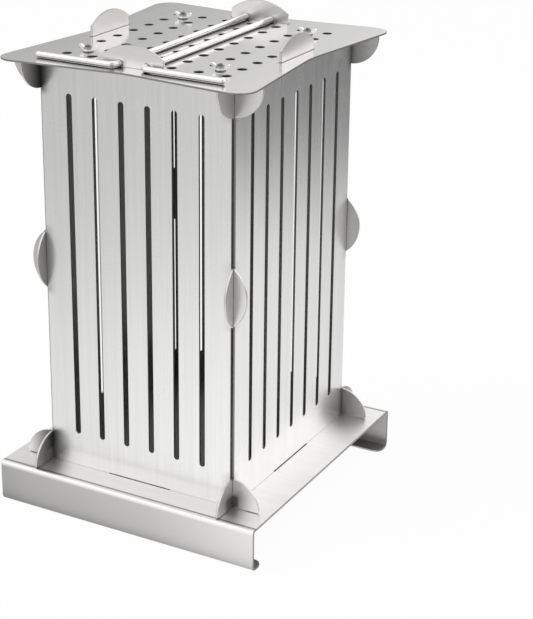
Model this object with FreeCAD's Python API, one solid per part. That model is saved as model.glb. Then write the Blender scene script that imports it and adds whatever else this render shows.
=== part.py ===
import FreeCAD, Part

# Skewer box: a tall slotted box of four interlocked sheet-steel walls that stands on a folded tray.
# A perforated lid drops over the walls' top tabs and two L-shaped rods, pushed through those tabs,
# lock it down. A perforated guide plate hangs under the lid on four screws with wing nuts.
# Millimetres. X runs along the front, Y to the back, Z up. The origin is on the floor, under the
# middle of the tray.
import math
import os

from FreeCAD import Vector

# The skewer grid sets everything else.
PITCH = 25.0
COLUMNS = 7
ROWS = 8
HOLE_RADIUS = 4.0
EDGE_MARGIN = 17.0

# Sheet thicknesses and working gaps.
WALL_SHEET = 2.0
TRAY_SHEET = 2.0
LID_SHEET = 1.5
LAP_GAP = 0.15
CORNER_GAP = 0.5
TAB_GAP = 0.5
LID_TAB_END_GAP = 1.2
TRAY_TAB_END_GAP = 2.4

# How far a cutter runs past the faces that it cuts.
OVERCUT = 1.0

# Heights above the floor.
TRAY_HEIGHT = 38.0
WALL_HEIGHT = 363.0
SLOT_LOW = 30.5
SLOT_LENGTH = 305.0
SLOT_WIDTH = 5.2
WALL_BASE = TRAY_HEIGHT
WALL_TOP = WALL_BASE + WALL_HEIGHT
LID_TOP = WALL_TOP + LID_SHEET

# Outer faces of the walls, from the middle of the box.
SIDE_FACE = (COLUMNS - 1) / 2 * PITCH + EDGE_MARGIN
FRONT_FACE = (ROWS - 1) / 2 * PITCH + EDGE_MARGIN

# Ears at the wall edges, and the tabs on the walls' top and bottom edges.
EAR_RADIUS = 26.0
MID_EAR_CHORD = 51.0
MID_EAR_DEPTH = 13.0
MID_EAR_HEIGHT = 187.5
EAR_FOOT_GAP = 0.6
EAR_FOOT_RADIUS = 2.0
TAB_WIDTH = 56.5
TAB_SIDE = 10.5
TAB_CROWN = 9.5

# Lid and guide plate.
LID_CORNER = (119.5, 133.5)
LID_WAIST = (104.0, 121.0)
LID_CORNER_RADIUS = 16.0
LID_WAIST_RADIUS = 120.0
GUIDE_SHEET = 1.5
GUIDE_GAP = 1.0
SPACER_LENGTH = 20.0
GUIDE_TOP = WALL_TOP - SPACER_LENGTH
GUIDE_LOW = GUIDE_TOP - GUIDE_SHEET

# Folded tray.
TRAY_HALF_WIDTH = 127.0
TRAY_HALF_DEPTH = 132.0
TRAY_LIP = 17.0
TRAY_TOP_BEND = 2.5
TRAY_LOW_BEND = 5.0
LIP_CORNER_RADIUS = 8.0

# Locking rods: round bar, a long shank through the tabs and a short arm along the front.
ROD_RADIUS = 2.5
ROD_X = PITCH / 2
ROD_LIFT = 2.8
ROD_HOLE_RADIUS = 2.8
ROD_BEND = 6.0
ROD_ARM_Y = -112.0
ROD_ARM_END = 88.0
ROD_REAR_END = 110.0
ROD_CHAMFER = 0.8
ROD_Z = LID_TOP + ROD_LIFT

# M4 screws with spacers, washers and wing nuts, each at the middle of a cell of the grid.
SCREW_X = 2.5 * PITCH
SCREW_Y = 3.0 * PITCH
SCREW_RADIUS = 2.0
SCREW_HOLE_RADIUS = 2.2
SCREW_HEAD_RADIUS = 4.0
SCREW_HEAD_HEIGHT = 2.6
SCREW_HEAD_ROUND = 1.2
SCREW_END = 1.6
SPACER_RADIUS = 4.0
WASHER_RADIUS = 4.5
WASHER_THICKNESS = 0.8
NUT_SEAT = LID_TOP + WASHER_THICKNESS
NUT_BORE_RADIUS = 2.08
NUT_LOW_RADIUS = 4.2
NUT_TOP_RADIUS = 3.4
NUT_BOSS_HEIGHT = 3.4

# Wing of the nut: its outline from the boss outwards, as (reach, rise, corner radius).
WING_ROOT = (3.2, 0.4, 0.8)
WING_BELLY = (6.4, 1.3, 1.5)
WING_SIDE = (8.5, 3.2, 1.0)
WING_TIP = (8.0, 5.2, 1.0)
WING_SHOULDER = (5.8, 4.8, 1.3)
WING_CROOK = (2.9, 2.2, 0.5)
WING_THICKNESS = 1.8

CORNERS = {"front_left": (-1, -1), "front_right": (1, -1), "rear_left": (-1, 1), "rear_right": (1, 1)}
ORIGIN = Vector(0, 0, 0)
RIGHT = Vector(1, 0, 0)
BACK = Vector(0, 1, 0)
UP = Vector(0, 0, 1)


def block(low, high):
    """A box between two corners."""
    size = [b - a for a, b in zip(low, high)]
    return Part.makeBox(*size, Vector(*low))


def fuse_all(shapes):
    """One solid from touching shapes, with the seams between them removed."""
    first, rest = shapes[0], shapes[1:]
    whole = first.multiFuse(rest)
    assert whole.isValid(), "these shapes don't fuse cleanly"
    return whole.removeSplitter()


def cut_all(shape, tools):
    """The shape without any of the tools."""
    return shape.cut(Part.Compound(tools))


def rounded_face(corners, radii):
    """A flat face in X and Y whose corners are rounded by tangent arcs. A radius of 0 stays sharp."""
    edges = []
    last_point = None
    first_point = None
    count = len(corners)
    for index, (x, y) in enumerate(corners):
        here = Vector(x, y, 0)
        before = Vector(*corners[index - 1], 0)
        after = Vector(*corners[(index + 1) % count], 0)
        arrive = (here - before).normalize()
        leave = (after - here).normalize()
        setback = radii[index] * math.tan(arrive.getAngle(leave) / 2)
        start = here - arrive * setback
        end = here + leave * setback
        if last_point is not None:
            edges.append(Part.LineSegment(last_point, start).toShape())
        if first_point is None:
            first_point = start
        if radii[index] > 0:
            inward = (leave - arrive).normalize()
            to_centre = math.hypot(radii[index], setback)
            middle = here + inward * (to_centre - radii[index])
            edges.append(Part.Arc(start, middle, end).toShape())
        last_point = end
    edges.append(Part.LineSegment(last_point, first_point).toShape())
    return Part.Face(Part.Wire(edges))


def drill(radius, x, y, low, high):
    """An upright round cutter through a plate that lies between two heights."""
    height = high - low + 2 * OVERCUT
    return Part.makeCylinder(radius, height, Vector(x, y, low - OVERCUT), UP)


def skewer_holes(low, high):
    """The grid of round cutters through a perforated plate."""
    tools = []
    for column in range(COLUMNS):
        for row in range(ROWS):
            x = (column - (COLUMNS - 1) / 2) * PITCH
            y = (row - (ROWS - 1) / 2) * PITCH
            tools.append(drill(HOLE_RADIUS, x, y, low, high))
    return tools


def screw_holes(low, high):
    """Cutters for the four screws."""
    places = [(side_x * SCREW_X, side_y * SCREW_Y) for side_x, side_y in CORNERS.values()]
    return [drill(SCREW_HOLE_RADIUS, x, y, low, high) for x, y in places]


def tab_slots(low, high, end_gap):
    """Cutters for the four wall tabs, in a plate that lies on or under the walls."""
    length = TAB_WIDTH / 2 + end_gap
    across = WALL_SHEET / 2 + TAB_GAP
    bottom, top = low - OVERCUT, high + OVERCUT
    tools = []
    for side in (-1, 1):
        front = side * (FRONT_FACE - WALL_SHEET / 2)
        tools.append(block((-length, front - across, bottom), (length, front + across, top)))
        flank = side * (SIDE_FACE - WALL_SHEET / 2)
        tools.append(block((flank - across, -length, bottom), (flank + across, length, top)))
    return tools


def flat_disc(along, height, radius):
    """A disc one wall sheet thick, standing in the plane of X and Z."""
    centre = Vector(along, -WALL_SHEET / 2, height)
    return Part.makeCylinder(radius, WALL_SHEET, centre, BACK)


def flat_block(low_x, high_x, low_z, high_z):
    """A rectangle one wall sheet thick, standing in the plane of X and Z."""
    return block((low_x, -WALL_SHEET / 2, low_z), (high_x, WALL_SHEET / 2, high_z))


def wall_tab(pointing):
    """The tab at the middle of a wall's top (+1) or bottom (-1) edge: short sides and a crown."""
    edge = WALL_TOP if pointing > 0 else WALL_BASE
    half = TAB_WIDTH / 2
    crown_radius = (half ** 2 + TAB_CROWN ** 2) / (2 * TAB_CROWN)
    tip = edge + pointing * (TAB_SIDE + TAB_CROWN)
    disc = flat_disc(0, tip - pointing * crown_radius, crown_radius)
    low, high = sorted((edge - pointing * OVERCUT, tip + pointing * OVERCUT))
    return flat_block(-half, half, low, high).common(disc)


def wall_ears(body_edge, crossing):
    """The three ears on the +X edge of a wall, and the heights where each crosses the next wall."""
    outer = crossing + EAR_RADIUS + OVERCUT
    half_chord = MID_EAR_CHORD / 2
    middle = WALL_BASE + MID_EAR_HEIGHT
    mid_radius = (half_chord ** 2 + MID_EAR_DEPTH ** 2) / (2 * MID_EAR_DEPTH)
    spans = [
        (WALL_BASE, WALL_BASE + EAR_RADIUS),
        (middle - half_chord, middle + half_chord),
        (WALL_TOP - EAR_RADIUS, WALL_TOP),
    ]
    discs = [
        flat_disc(crossing, WALL_BASE, EAR_RADIUS),
        flat_disc(crossing + MID_EAR_DEPTH - mid_radius, middle, mid_radius),
        flat_disc(crossing, WALL_TOP, EAR_RADIUS),
    ]
    ears = []
    for disc, (low, high) in zip(discs, spans):
        ears.append(disc.common(flat_block(body_edge - OVERCUT, outer, low, high)))
    ears[0] = lift_foot(ears[0], crossing + WALL_SHEET / 2 + LAP_GAP)
    return ears, spans


def lift_foot(ear, from_x):
    """Raises the foot of a bottom ear off the tray beyond the crossing wall, and rounds its corner."""
    foot = WALL_BASE + EAR_FOOT_GAP
    ear = ear.cut(flat_block(from_x, from_x + EAR_RADIUS + OVERCUT, WALL_BASE - OVERCUT, foot))
    corner = [edge for edge in ear.Edges
              if edge.BoundBox.XMin > from_x + OVERCUT and edge.BoundBox.ZMax < foot + OVERCUT
              and edge.BoundBox.YLength > WALL_SHEET / 2 and edge.BoundBox.XLength < OVERCUT]
    return ear.makeFillet(EAR_FOOT_RADIUS, corner)


def lap_cut(crossing, span, upper):
    """The half-lap slot in an ear, in its upper or its lower half, open at the ear's end."""
    split = (span[0] + span[1]) / 2
    half = WALL_SHEET / 2 + LAP_GAP
    if upper:
        return flat_block(crossing - half, crossing + half, split - LAP_GAP, span[1] + OVERCUT)
    return flat_block(crossing - half, crossing + half, span[0] - OVERCUT, split + LAP_GAP)


def knife_slots(count):
    """Upright cutters with round ends, one between each two lines of skewer holes."""
    tools = []
    radius = SLOT_WIDTH / 2
    low = WALL_BASE + SLOT_LOW
    for index in range(count):
        at = (index - (count - 1) / 2) * PITCH
        tools.append(flat_block(at - radius, at + radius, low + radius, low + SLOT_LENGTH - radius))
        tools.append(flat_disc(at, low + radius, radius))
        tools.append(flat_disc(at, low + SLOT_LENGTH - radius, radius))
    return tools


def make_wall(neighbour_face, slot_count, laps_open_up, rod_holes):
    """A whole wall in the plane of X and Z, centred on the origin.

    neighbour_face is how far out the outer faces of the two crossing walls are.
    """
    crossing = neighbour_face - WALL_SHEET / 2
    body_edge = crossing - WALL_SHEET / 2 - CORNER_GAP
    pieces = [flat_block(-body_edge, body_edge, WALL_BASE, WALL_TOP), wall_tab(1), wall_tab(-1)]
    ears, spans = wall_ears(body_edge, crossing)
    laps = [lap_cut(crossing, span, laps_open_up) for span in spans]
    for shape in ears:
        pieces += [shape, shape.mirror(ORIGIN, RIGHT)]
    cutters = knife_slots(slot_count)
    for shape in laps:
        cutters += [shape, shape.mirror(ORIGIN, RIGHT)]
    if rod_holes:
        cutters += [flat_disc(side * ROD_X, ROD_Z, ROD_HOLE_RADIUS) for side in (-1, 1)]
    return cut_all(fuse_all(pieces), cutters)


def make_walls():
    """Front and rear walls with laps open at the top; side walls drop in from above."""
    front_y = FRONT_FACE - WALL_SHEET / 2
    side_x = SIDE_FACE - WALL_SHEET / 2
    walls = {}
    for name, side in (("front_wall", -1), ("rear_wall", 1)):
        wall = make_wall(SIDE_FACE, COLUMNS - 1, True, True)
        wall.translate(Vector(0, side * front_y, 0))
        walls[name] = wall
    for name, side in (("left_wall", -1), ("right_wall", 1)):
        wall = make_wall(FRONT_FACE, ROWS - 1, False, False)
        wall.rotate(ORIGIN, UP, 90)
        wall.translate(Vector(side * side_x, 0, 0))
        walls[name] = wall
    return walls


def make_lid():
    """The perforated lid, with drawn-in sides and rounded corners."""
    corner_x, corner_y = LID_CORNER
    waist_x, waist_y = LID_WAIST
    points = [
        (-corner_x, -corner_y), (0, -waist_y), (corner_x, -corner_y), (waist_x, 0),
        (corner_x, corner_y), (0, waist_y), (-corner_x, corner_y), (-waist_x, 0),
    ]
    face = rounded_face(points, [LID_CORNER_RADIUS, LID_WAIST_RADIUS] * 4)
    face.translate(Vector(0, 0, WALL_TOP))
    plate = face.extrude(UP * LID_SHEET)
    faces = (WALL_TOP, LID_TOP)
    slots = tab_slots(*faces, LID_TAB_END_GAP)
    return cut_all(plate, skewer_holes(*faces) + screw_holes(*faces) + slots)


def make_guide_plate():
    """The second perforated plate, which hangs under the lid and keeps the skewers upright."""
    half_x = SIDE_FACE - WALL_SHEET - GUIDE_GAP
    half_y = FRONT_FACE - WALL_SHEET - GUIDE_GAP
    plate = block((-half_x, -half_y, GUIDE_LOW), (half_x, half_y, GUIDE_TOP))
    faces = (GUIDE_LOW, GUIDE_TOP)
    return cut_all(plate, skewer_holes(*faces) + screw_holes(*faces))


def tray_section():
    """The tray's end view as a face in X and Y, with Y standing for height."""
    deep, high, sheet = TRAY_HALF_DEPTH, TRAY_HEIGHT, TRAY_SHEET
    lip = deep - TRAY_LIP
    top, low = TRAY_TOP_BEND, TRAY_LOW_BEND
    half = [
        (deep, high, top), (deep, 0, low), (lip, 0, 0), (lip, sheet, 0),
        (deep - sheet, sheet, low - sheet), (deep - sheet, high - sheet, top - sheet),
    ]
    other = [(-y, z, radius) for y, z, radius in reversed(half)]
    outline = half + other
    return rounded_face([(y, z) for y, z, _ in outline], [radius for _, _, radius in outline])


def lip_corner_cut(side_x, side_y):
    """The cutter that rounds one free corner of a lip."""
    radius = LIP_CORNER_RADIUS
    x = side_x * TRAY_HALF_WIDTH
    y = side_y * (TRAY_HALF_DEPTH - TRAY_LIP)
    centre_x = x - side_x * radius
    centre_y = y + side_y * radius
    xs = sorted((centre_x, x + side_x * OVERCUT))
    ys = sorted((centre_y, y - side_y * OVERCUT))
    corner = block((xs[0], ys[0], -OVERCUT / 2), (xs[1], ys[1], TRAY_SHEET + OVERCUT / 2))
    return corner.cut(drill(radius, centre_x, centre_y, 0, TRAY_SHEET))


def make_tray():
    """The tray: a plate folded down at the front and back, each skirt ending in an inward lip."""
    section = tray_section()
    section.rotate(ORIGIN, RIGHT, 90)
    section.rotate(ORIGIN, UP, 90)
    section.translate(RIGHT * -TRAY_HALF_WIDTH)
    tray = section.extrude(RIGHT * (2 * TRAY_HALF_WIDTH))
    corners = [lip_corner_cut(side_x, side_y) for side_x, side_y in CORNERS.values()]
    slots = tab_slots(TRAY_HEIGHT - TRAY_SHEET, TRAY_HEIGHT, TRAY_TAB_END_GAP)
    return cut_all(tray, slots + corners)


def rod_shank(side):
    """The straight length of a locking rod, from its bend to its chamfered rear end."""
    start = Vector(side * ROD_X, ROD_ARM_Y + ROD_BEND, ROD_Z)
    bar = Part.makeCylinder(ROD_RADIUS, ROD_REAR_END - start.y, start, BACK)
    rear = [edge for edge in bar.Edges if edge.BoundBox.YMin > ROD_REAR_END - ROD_CHAMFER]
    return bar.makeChamfer(ROD_CHAMFER, rear)


def rod_arm(side):
    """The bend and the arm of a locking rod, with a domed end."""
    bend_start = Vector(side * ROD_X, ROD_ARM_Y + ROD_BEND, ROD_Z)
    bend_centre = bend_start + RIGHT * (side * ROD_BEND)
    arm_start = Vector(bend_centre.x, ROD_ARM_Y, ROD_Z)
    dome = Vector(side * (ROD_ARM_END - ROD_RADIUS), ROD_ARM_Y, ROD_Z)
    section = Part.Face(Part.Wire(Part.Circle(bend_start, BACK, ROD_RADIUS).toShape()))
    bend = section.revolve(bend_centre, UP, side * 90)
    arm = Part.makeCylinder(ROD_RADIUS, (dome - arm_start).Length, arm_start, RIGHT * side)
    return fuse_all([bend, arm, Part.makeSphere(ROD_RADIUS, dome)])


def ring(outer, inner, low, high):
    """A plain ring round the Z axis."""
    return Part.makeCylinder(outer, high - low, UP * low).cut(drill(inner, 0, 0, low, high))


def make_screw():
    """A pan-head screw on the Z axis, its head under the guide plate and its tip above the nut."""
    tip = NUT_SEAT + NUT_BOSS_HEIGHT + SCREW_END
    head_low = GUIDE_LOW - SCREW_HEAD_HEIGHT
    head = Part.makeCylinder(SCREW_HEAD_RADIUS, SCREW_HEAD_HEIGHT, UP * head_low)
    rim = [edge for edge in head.Edges if edge.BoundBox.ZMax < head_low + SCREW_HEAD_ROUND]
    shank = Part.makeCylinder(SCREW_RADIUS, tip - head_low - SCREW_HEAD_ROUND,
                              UP * (head_low + SCREW_HEAD_ROUND))
    return fuse_all([head.makeFillet(SCREW_HEAD_ROUND, rim), shank])


def nut_wing():
    """The +X wing of a wing nut, a flat plate that rises from the boss and leans outwards."""
    corners = [WING_ROOT, WING_BELLY, WING_SIDE, WING_TIP, WING_SHOULDER, WING_CROOK]
    inside = [(0, WING_CROOK[1], 0), (0, WING_ROOT[1], 0)]
    points = [(reach, rise) for reach, rise, _ in corners + inside]
    face = rounded_face(points, [radius for _, _, radius in corners + inside])
    face.rotate(ORIGIN, RIGHT, 90)
    face.translate(Vector(0, WING_THICKNESS / 2, NUT_SEAT))
    return face.extrude(BACK * -WING_THICKNESS)


def make_wing_nut():
    """A wing nut on the Z axis: a tapered boss with two upswept wings."""
    boss = Part.makeCone(NUT_LOW_RADIUS, NUT_TOP_RADIUS, NUT_BOSS_HEIGHT, UP * NUT_SEAT)
    wing = nut_wing()
    nut = fuse_all([boss, wing, wing.mirror(ORIGIN, RIGHT)])
    return nut.cut(drill(NUT_BORE_RADIUS, 0, 0, NUT_SEAT, NUT_SEAT + WING_TIP[1]))


def make_fasteners():
    """Screw, spacer, washer and wing nut at each of the lid's four screw places."""
    column = {
        "screw": make_screw(),
        "spacer": ring(SPACER_RADIUS, SCREW_HOLE_RADIUS, GUIDE_TOP, WALL_TOP),
        "washer": ring(WASHER_RADIUS, SCREW_HOLE_RADIUS, LID_TOP, NUT_SEAT),
        "wing_nut": make_wing_nut(),
    }
    placed = {}
    for corner, (side_x, side_y) in CORNERS.items():
        for name, shape in column.items():
            copy = shape.copy()
            copy.translate(Vector(side_x * SCREW_X, side_y * SCREW_Y, 0))
            placed[f"{corner}_{name}"] = copy
    return placed


def main():
    nodes = {"base_tray": make_tray(), "lid_plate": make_lid(), "guide_plate": make_guide_plate()}
    nodes.update(make_walls())
    for name, side in (("left", -1), ("right", 1)):
        nodes[f"{name}_rod_shank"] = rod_shank(side)
        nodes[f"{name}_rod_arm"] = rod_arm(side)
    nodes.update(make_fasteners())
    os.makedirs("parts", exist_ok=True)
    for name, shape in nodes.items():
        assert shape.isValid() and len(shape.Solids) == 1, name
        shape.Solids[0].exportStep(f"parts/{name}.step")
        print(f"{name}: {shape.Volume:.0f} mm3")


main()
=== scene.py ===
"""Looks of a kebab skewer box: slotted steel walls on a folded tray, a perforated lid and its locking rods.

Everything is in metres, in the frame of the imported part: X along the front, Y to the back, Z up.
"""
import logging
import math
from dataclasses import dataclass
from enum import Enum
from functools import cached_property
from typing import Any, Callable, Union

import bmesh
import bpy
from bmesh.types import BMesh
from bpy.types import Material, Mesh, Object
from mathutils import Matrix, Vector


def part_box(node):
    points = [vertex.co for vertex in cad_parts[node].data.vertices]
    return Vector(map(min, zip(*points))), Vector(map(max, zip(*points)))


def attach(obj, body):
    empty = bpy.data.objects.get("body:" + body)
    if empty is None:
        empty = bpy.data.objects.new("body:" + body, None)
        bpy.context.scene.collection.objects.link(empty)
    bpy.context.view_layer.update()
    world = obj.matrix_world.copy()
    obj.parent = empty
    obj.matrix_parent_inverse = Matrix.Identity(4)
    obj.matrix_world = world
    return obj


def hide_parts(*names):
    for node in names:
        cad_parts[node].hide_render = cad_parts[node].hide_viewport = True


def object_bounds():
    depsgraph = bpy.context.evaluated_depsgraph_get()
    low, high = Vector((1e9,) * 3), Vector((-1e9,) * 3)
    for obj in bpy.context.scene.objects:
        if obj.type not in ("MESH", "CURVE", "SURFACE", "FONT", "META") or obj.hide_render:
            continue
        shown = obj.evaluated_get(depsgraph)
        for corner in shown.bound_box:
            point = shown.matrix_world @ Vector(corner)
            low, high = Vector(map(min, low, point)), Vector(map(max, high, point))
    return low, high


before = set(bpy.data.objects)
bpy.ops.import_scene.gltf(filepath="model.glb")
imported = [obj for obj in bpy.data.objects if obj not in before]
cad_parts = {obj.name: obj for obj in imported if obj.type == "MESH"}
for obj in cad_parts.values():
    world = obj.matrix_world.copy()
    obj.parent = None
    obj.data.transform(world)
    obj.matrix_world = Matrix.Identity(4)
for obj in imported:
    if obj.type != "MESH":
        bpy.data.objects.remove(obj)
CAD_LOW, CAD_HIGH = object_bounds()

LOG = logging.getLogger("skewer_box")
MILLIMETRE = 0.001
IMAGE_HEIGHT = 619
MERGE = 1e-7
EVERYWHERE = 10.0
FACES_ALONG = 0.5
NOISE_MEAN = 0.5
EASE_STEPS = 2
SHARP_ANGLE = math.radians(30)
CORNERS = ("front_left", "front_right", "rear_left", "rear_right")
TRAY_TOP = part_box("base_tray")[1].z
LID_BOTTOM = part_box("lid_plate")[0].z
Number = Union[float, "Value"]
Colour = tuple[float, float, float]
Place = tuple[float, float, float]
Pair = tuple[float, float]
Levels = tuple[Pair, ...]
Band = tuple[float, float, float, float]
Socket = bpy.types.NodeSocket
UP = Vector((0, 0, 1))


class Axis(Enum):
    """A direction of the part's frame."""

    X = 0
    Y = 1
    Z = 2

    def pick(self, along: float, across: float) -> Place:
        """Three numbers: one along this axis and the other across it."""
        return tuple(along if index == self.value else across for index in range(3))


class Side(Enum):
    """The left or the right half of the part, as the sign of X."""

    LEFT = -1
    RIGHT = 1


# ---------------- shader graphs


class Value:
    """A number that runs through a shader graph. Arithmetic on it adds Math nodes."""

    def __init__(self, graph: "Graph", socket: Socket) -> None:
        """Wraps one output socket of the graph."""
        self.graph = graph
        self.socket = socket

    def math(self, operation: str, *operands: Number) -> "Value":
        """The result of one Math node, with its inputs in order."""
        node = self.graph.node("Math", dict(enumerate(operands)), operation=operation)
        return Value(self.graph, node.outputs[0])

    def __add__(self, other: Number) -> "Value":
        """self + other."""
        return self.math("ADD", self, other)

    __radd__ = __add__

    def __sub__(self, other: Number) -> "Value":
        """self - other."""
        return self.math("SUBTRACT", self, other)

    def __rsub__(self, other: Number) -> "Value":
        """other - self."""
        return self.math("SUBTRACT", other, self)

    def __mul__(self, other: Number) -> "Value":
        """self * other."""
        return self.math("MULTIPLY", self, other)

    __rmul__ = __mul__

    def __abs__(self) -> "Value":
        """The size of the number, without its sign."""
        return self.math("ABSOLUTE", self)

    def root(self) -> "Value":
        """The square root."""
        return self.math("SQRT", self)

    def under(self, limit: Number) -> "Value":
        """1 where the number is under the limit, and 0 elsewhere."""
        return self.math("LESS_THAN", self, limit)

    def between(self, low: float, high: float) -> "Value":
        """1 from low up to high, and 0 elsewhere."""
        return self.under(high) * (1.0 - self.under(low))

    def ramp(self, low: float, high: float) -> "Value":
        """A smooth change from 0 at low to 1 at high.

        Args:
            low: Where the change begins.
            high: Where it ends, above or below its beginning.

        Returns:
            The share, from 0 to 1.
        """
        if high < low:
            return 1.0 - self.ramp(high, low)
        inputs = {"Value": self, "From Min": low, "From Max": high}
        node = self.graph.node("MapRange", inputs, interpolation_type="SMOOTHSTEP")
        return Value(self.graph, node.outputs[0])

    def levels(self, *stops: Pair) -> "Value":
        """A curve of straight lines between stops, flat beyond the first and the last.

        Args:
            stops: The number and the level of each stop, from the lowest number up.

        Returns:
            The level.
        """
        low = stops[0][0]
        span = stops[-1][0] - low
        node = self.graph.node("ValToRGB", {0: (self - low) * (1 / span)})
        elements = node.color_ramp.elements
        while len(elements) < len(stops):
            elements.new(1.0)
        for element, (number, level) in zip(elements, stops):
            element.position = (number - low) / span
            element.color = (level, level, level, 1.0)
        return Value(self.graph, node.outputs[0])


class Graph:
    """A shader's node tree, with the few kinds of step that the finishes use."""

    def __init__(self, owner: bpy.types.ID) -> None:
        """Clears the node tree of a material or world."""
        owner.use_nodes = True
        self.tree = owner.node_tree
        self.tree.nodes.clear()

    def node(self, kind: str, inputs: dict[Any, Any], **settings: Any) -> bpy.types.Node:
        """Adds one node.

        Args:
            kind: The node's type, without "ShaderNode".
            inputs: A value or a link for each named or numbered socket.
            settings: Its properties, which are set first.

        Returns:
            The node.
        """
        made = self.tree.nodes.new(f"ShaderNode{kind}")
        for name, setting in settings.items():
            setattr(made, name, setting)
        for key, given in inputs.items():
            source = given.socket if isinstance(given, Value) else given
            if isinstance(source, Socket):
                self.tree.links.new(source, made.inputs[key])
            else:
                made.inputs[key].default_value = source
        return made

    @cached_property
    def place(self) -> Socket:
        """The point being shaded, in the object's own coordinates."""
        return self.node("TexCoord", {}).outputs["Object"]

    @cached_property
    def xyz(self) -> tuple[Value, Value, Value]:
        """The X, Y and Z of the point being shaded."""
        return self.parts(self.place)

    def parts(self, vector: Socket) -> tuple[Value, Value, Value]:
        """The X, Y and Z of a vector."""
        split = self.node("SeparateXYZ", {0: vector})
        return tuple(Value(self, output) for output in split.outputs)

    def azimuth(self, x: Value, y: Value) -> Value:
        """The angle of a point or direction about Z, in degrees from +X towards +Y."""
        return x.math("ARCTAN2", y, x) * math.degrees(1)

    def noise(self, vector: Socket, scale: float, detail: float) -> Value:
        """Soft noise from 0 to 1 round a mean of about a half."""
        node = self.node("TexNoise", {"Vector": vector, "Scale": scale, "Detail": detail})
        return Value(self, node.outputs[0])

    def drawn(self, along: Axis, length: float, spacing: float) -> Value:
        """Noise that is drawn out along an axis.

        Args:
            along: The axis.
            length: How long the lines are.
            spacing: How far apart they lie.

        Returns:
            The noise, round a mean of about a half.
        """
        inputs = {0: self.place, 1: along.pick(1 / length, 1 / spacing)}
        stretched = self.node("VectorMath", inputs, operation="MULTIPLY").outputs[0]
        return self.noise(stretched, scale=1.0, detail=2.0)

    def blend(self, amount: Number, first: Any, second: Any) -> Socket:
        """The first colour where amount is 0, and the second where it is 1."""
        return self.node("Mix", {0: amount, 6: first, 7: second}, data_type="RGBA").outputs[2]

    def bump(self, height: Value, depth: float, under: Socket | None = None) -> Socket:
        """A bumped normal.

        Args:
            height: The relief, from 0 to 1.
            depth: Its depth in metres.
            under: A bumped normal that this one lies on, or None.

        Returns:
            The normal.
        """
        inputs = {"Height": height, "Distance": depth}
        if under is not None:
            inputs["Normal"] = under
        return self.node("Bump", inputs).outputs[0]

    def rays(self) -> tuple[Value, Value]:
        """1 for what the camera sees straight, and 1 for what steel mirrors or glass passes on."""
        path = self.node("LightPath", {})
        camera, glossy, passed = (Value(self, path.outputs[f"Is {name} Ray"])
                                  for name in ("Camera", "Glossy", "Transmission"))
        return camera, glossy.math("MAXIMUM", glossy, passed)

    def metal(self, tone: Any, rough: Number, normal: Socket) -> None:
        """Ends the graph in bare metal, with the colour of what it mirrors."""
        inputs = {"Base Color": tone, "Metallic": 1.0, "Roughness": rough, "Normal": normal}
        self.finish(self.node("BsdfPrincipled", inputs).outputs[0])

    def finish(self, shader: Socket, kind: str = "OutputMaterial") -> None:
        """Sends a shader to the graph's output."""
        self.node(kind, {0: shader})


def opaque(colour: Colour, share: float = 1.0) -> tuple[float, float, float, float]:
    """A share of a colour's brightness, with full alpha."""
    return (*(channel * share for channel in colour), 1.0)


# ---------------- finishes


@dataclass(frozen=True)
class Zone:
    """An upright box of space round the Z axis, which a finish treats in its own way."""

    half_x: float = EVERYWHERE
    half_y: float = EVERYWHERE
    low: float = -EVERYWHERE
    high: float = EVERYWHERE

    def mask(self, graph: Graph) -> Value:
        """1 in the box, and 0 elsewhere."""
        x, y, z = graph.xyz
        return abs(x).under(self.half_x) * abs(y).under(self.half_y) * z.between(self.low, self.high)


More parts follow.
